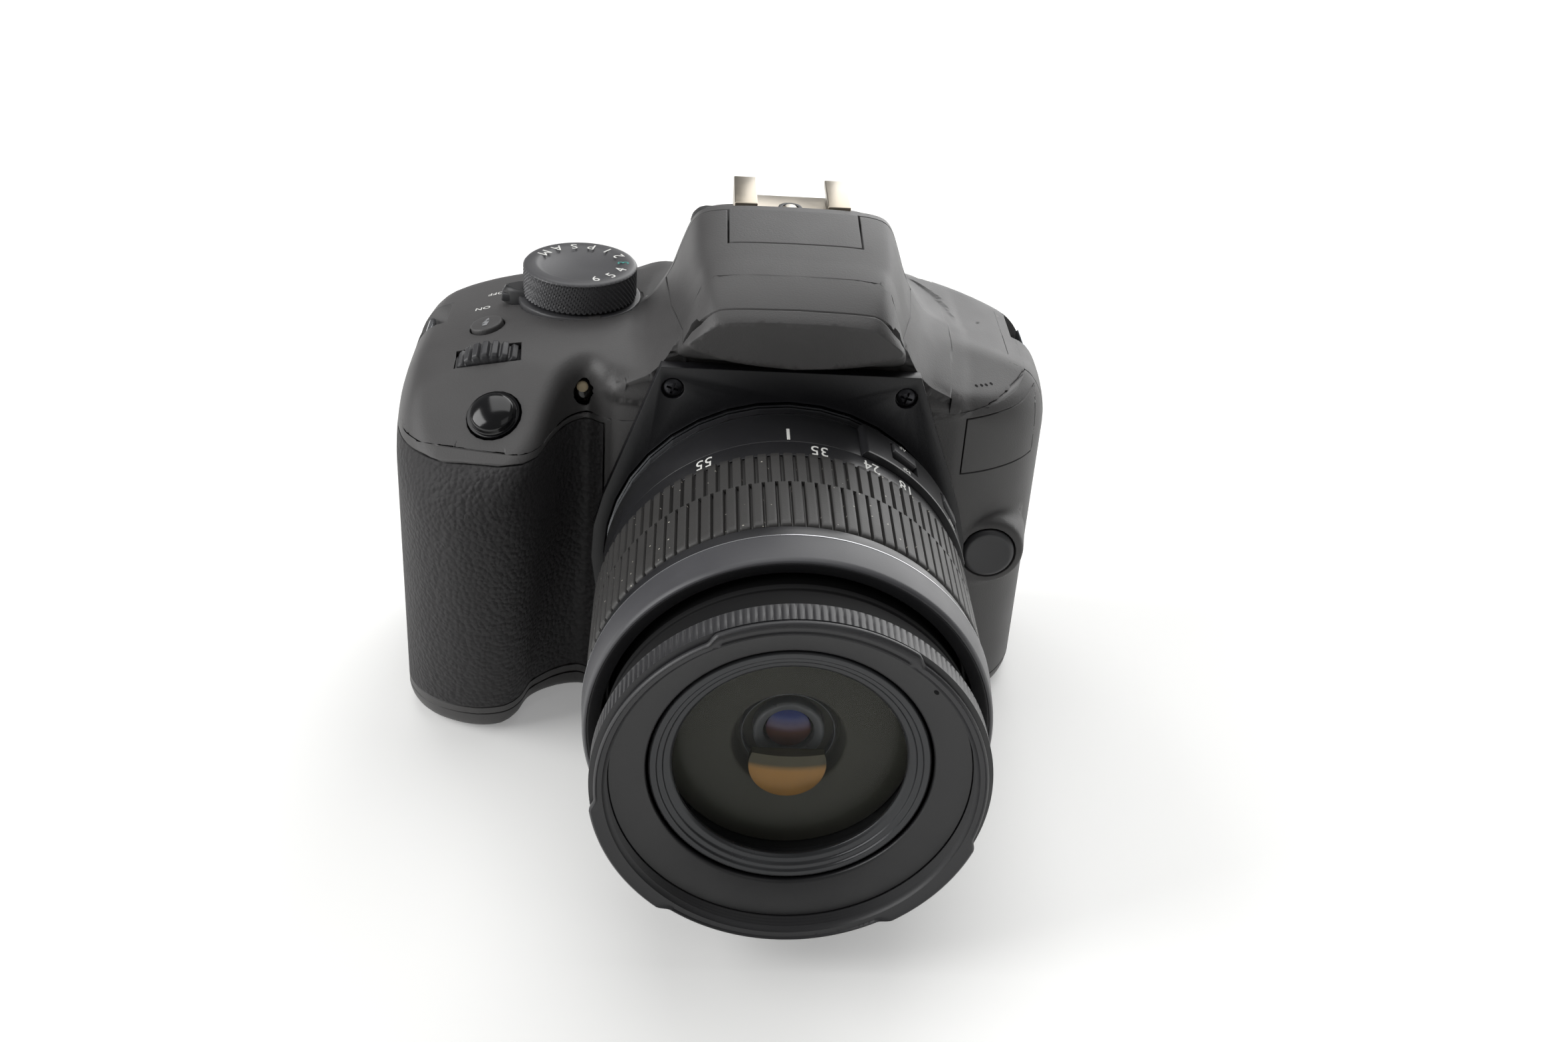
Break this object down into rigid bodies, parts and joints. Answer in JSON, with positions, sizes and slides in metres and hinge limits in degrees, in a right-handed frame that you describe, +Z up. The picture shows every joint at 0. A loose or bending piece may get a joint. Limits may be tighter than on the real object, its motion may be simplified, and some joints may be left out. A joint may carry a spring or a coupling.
{
  "type": "single-lens reflex camera",
  "caption": "Single-lens reflex camera with a rubber hand grip, pop-up flash, hot shoe, dials, buttons, rear screen and a standard zoom lens with turning zoom and focus rings.",
  "frame": {"origin": "middle of the base under the bounding box", "axes": "+Z up, the lens points along -Y, the hand grip is at -X"},
  "size_m": [0.1252, 0.1326, 0.0975],
  "materials": {
    "body_plastic": "moulded, fine grain",
    "control_plastic": "moulded",
    "button_gloss": "polished",
    "grip_rubber": "pebble grain",
    "soft_rubber": "matt",
    "panel_black": "matt black",
    "badge": "bare",
    "lens_plastic": "satin",
    "lens_satin": "satin black",
    "lens_glass": "coated",
    "metal": "brushed",
    "shoe_metal": "nickel, warm",
    "dark_metal": "black",
    "clear_window": "clear",
    "screen_gloss": "polished",
    "inner_black": "matt black",
    "mirror": "silvered",
    "sensor": "coated",
    "board": "circuit board",
    "battery": "moulded",
    "card": "moulded"
  },
  "bodies": {
    "camera": {"badge_plate": "badge", "battery": "battery", "body_mount_ring": "metal", "bottom_cover": "body_plastic", "eyecup": "soft_rubber", "eyepiece_lens": "lens_glass", "focusing_screen": "clear_window", "front_cover": "body_plastic", "front_panel": "panel_black", "grip_rubber": "grip_rubber", "hot_shoe": "shoe_metal", "image_sensor": "sensor", "lens_bayonet": "lens_plastic", "main_board": "board", "memory_card": "card", "mirror_box": "inner_black", "panel_screw_left": "dark_metal", "panel_screw_right": "dark_metal", "pentamirror": "inner_black", "rear_barrel": "lens_plastic", "rear_cover": "body_plastic", "screen_panel": "screen_gloss", "screen_window": "screen_gloss", "self_timer_lamp": "clear_window", "shutter_frame": "inner_black", "strap_lug_left": "metal", "strap_lug_right": "metal", "terminal_block": "inner_black", "top_cover": "body_plastic", "tripod_socket": "metal"},
    "flash": {"flash_head": "body_plastic", "flash_window": "clear_window"},
    "mode_dial": {"mode_dial": "control_plastic"},
    "power_switch": {"power_switch": "control_plastic"},
    "main_dial": {"main_dial": "control_plastic"},
    "shutter_button": {"shutter_button": "button_gloss"},
    "flash_button": {"flash_button": "control_plastic"},
    "lens_release": {"lens_release_button": "control_plastic", "lens_lock_pin": "metal"},
    "mirror": {"main_mirror": "mirror"},
    "curtain": {"shutter_curtain": "inner_black"},
    "battery_door": {"battery_door": "body_plastic"},
    "terminal_cover": {"terminal_cover": "soft_rubber"},
    "menu_button": {"menu_button": "control_plastic"},
    "playback_button": {"playback_button": "control_plastic"},
    "delete_button": {"delete_button": "control_plastic"},
    "live_view_button": {"live_view_button": "control_plastic"},
    "cross_keys": {"cross_keys": "control_plastic"},
    "set_button": {"set_button": "control_plastic"},
    "dioptre_knob": {"dioptre_knob": "control_plastic"},
    "zoom": {"zoom_ring": "lens_plastic", "zoom_grip": "soft_rubber"},
    "front_barrel": {"front_barrel": "lens_plastic"},
    "rear_group": {"rear_group": "lens_glass"},
    "focus": {"focus_ring": "lens_plastic", "name_ring": "lens_satin", "front_lens_cell": "lens_satin", "front_element": "lens_glass"},
    "focus_switch": {"focus_switch": "control_plastic"},
    "stabiliser_switch": {"stabiliser_switch": "control_plastic"}
  },
  "joints": [
    {"name": "flash_hinge", "type": "hinge", "parent": "camera", "child": "flash", "pos_m": [0.00995, 0.0307, 0.097], "axis": [-1, 0, 0], "range_deg": [0, 65]},
    {"name": "mode_dial_turn", "type": "hinge", "parent": "camera", "child": "mode_dial", "pos_m": [-0.02985, 0.0352, 0.078], "axis": [0, 0, 1], "range_deg": [-30, 210]},
    {"name": "power_switch_turn", "type": "hinge", "parent": "camera", "child": "power_switch", "pos_m": [-0.02985, 0.0352, 0.076], "axis": [0, 0, 1], "range_deg": [0, 30]},
    {"name": "main_dial_turn", "type": "hinge", "parent": "camera", "child": "main_dial", "pos_m": [-0.04399, 0.01635, 0.06666], "axis": [0, 0.9675, 0.2531], "continuous": true},
    {"name": "shutter_press", "type": "slide", "parent": "camera", "child": "shutter_button", "axis": [0.1861, 0.5159, -0.8362], "range_m": [0, 0.0012], "stiffness_N_per_m": 400},
    {"name": "flash_button_press", "type": "slide", "parent": "camera", "child": "flash_button", "axis": [0.2511, 0.0182, -0.9678], "range_m": [0, 0.0006], "stiffness_N_per_m": 400},
    {"name": "lens_release_press", "type": "slide", "parent": "camera", "child": "lens_release", "axis": [0, 1, 0], "range_m": [0, 0.0015], "stiffness_N_per_m": 400},
    {"name": "mirror_flip", "type": "hinge", "parent": "camera", "child": "mirror", "pos_m": [0.00995, 0.0389, 0.0506], "axis": [-1, 0, 0], "range_deg": [0, 45]},
    {"name": "curtain_run", "type": "slide", "parent": "camera", "child": "curtain", "axis": [0, 0, -1], "range_m": [0, 0.0174]},
    {"name": "battery_door_hinge", "type": "hinge", "parent": "camera", "child": "battery_door", "pos_m": [-0.03825, 0.0037, 0.00025], "axis": [0, -1, 0], "range_deg": [0, 85]},
    {"name": "terminal_cover_hinge", "type": "hinge", "parent": "camera", "child": "terminal_cover", "pos_m": [0.06205, 0.0292, 0.02], "axis": [0, 0, -1], "range_deg": [0, 100]},
    {"name": "menu_button_press", "type": "slide", "parent": "camera", "child": "menu_button", "axis": [0, -1, 0], "range_m": [0, 0.0005], "stiffness_N_per_m": 400},
    {"name": "playback_button_press", "type": "slide", "parent": "camera", "child": "playback_button", "axis": [0, -1, 0], "range_m": [0, 0.0005], "stiffness_N_per_m": 400},
    {"name": "delete_button_press", "type": "slide", "parent": "camera", "child": "delete_button", "axis": [0, -1, 0], "range_m": [0, 0.0005], "stiffness_N_per_m": 400},
    {"name": "live_view_button_press", "type": "slide", "parent": "camera", "child": "live_view_button", "axis": [0, -1, 0], "range_m": [0, 0.0005], "stiffness_N_per_m": 400},
    {"name": "cross_keys_press", "type": "slide", "parent": "camera", "child": "cross_keys", "axis": [0, -1, 0], "range_m": [0, 0.0005], "stiffness_N_per_m": 400},
    {"name": "set_button_press", "type": "slide", "parent": "camera", "child": "set_button", "axis": [0, -1, 0], "range_m": [0, 0.0005], "stiffness_N_per_m": 400},
    {"name": "dioptre_turn", "type": "hinge", "parent": "camera", "child": "dioptre_knob", "pos_m": [-0.01685, 0.0537, 0.06858], "axis": [0, 1, 0], "range_deg": [-60, 60]},
    {"name": "zoom_turn", "type": "hinge", "parent": "camera", "child": "zoom", "pos_m": [0.00995, 0.0037, 0.038], "axis": [0, -1, 0], "range_deg": [-20, 50]},
    {"name": "front_barrel_slide", "type": "slide", "parent": "camera", "child": "front_barrel", "axis": [0, -1, 0], "range_m": [-0.004, 0.0095]},
    {"name": "rear_group_slide", "type": "slide", "parent": "camera", "child": "rear_group", "axis": [0, -1, 0], "range_m": [-0.0055, 0.0025]},
    {"name": "focus_turn", "type": "hinge", "parent": "front_barrel", "child": "focus", "pos_m": [0.00995, 0.0037, 0.038], "axis": [0, -1, 0], "range_deg": [-40, 40]},
    {"name": "focus_switch_slide", "type": "slide", "parent": "camera", "child": "focus_switch", "axis": [0, -1, 0], "range_m": [0, 0.0024]},
    {"name": "stabiliser_switch_slide", "type": "slide", "parent": "camera", "child": "stabiliser_switch", "axis": [0, -1, 0], "range_m": [0, 0.0024]}
  ],
  "couplings": [
    {"joint": "front_barrel_slide", "follows": "zoom_turn", "m_per_rad": 0.0103},
    {"joint": "rear_group_slide", "follows": "zoom_turn", "m_per_rad": -0.0057}
  ]
}
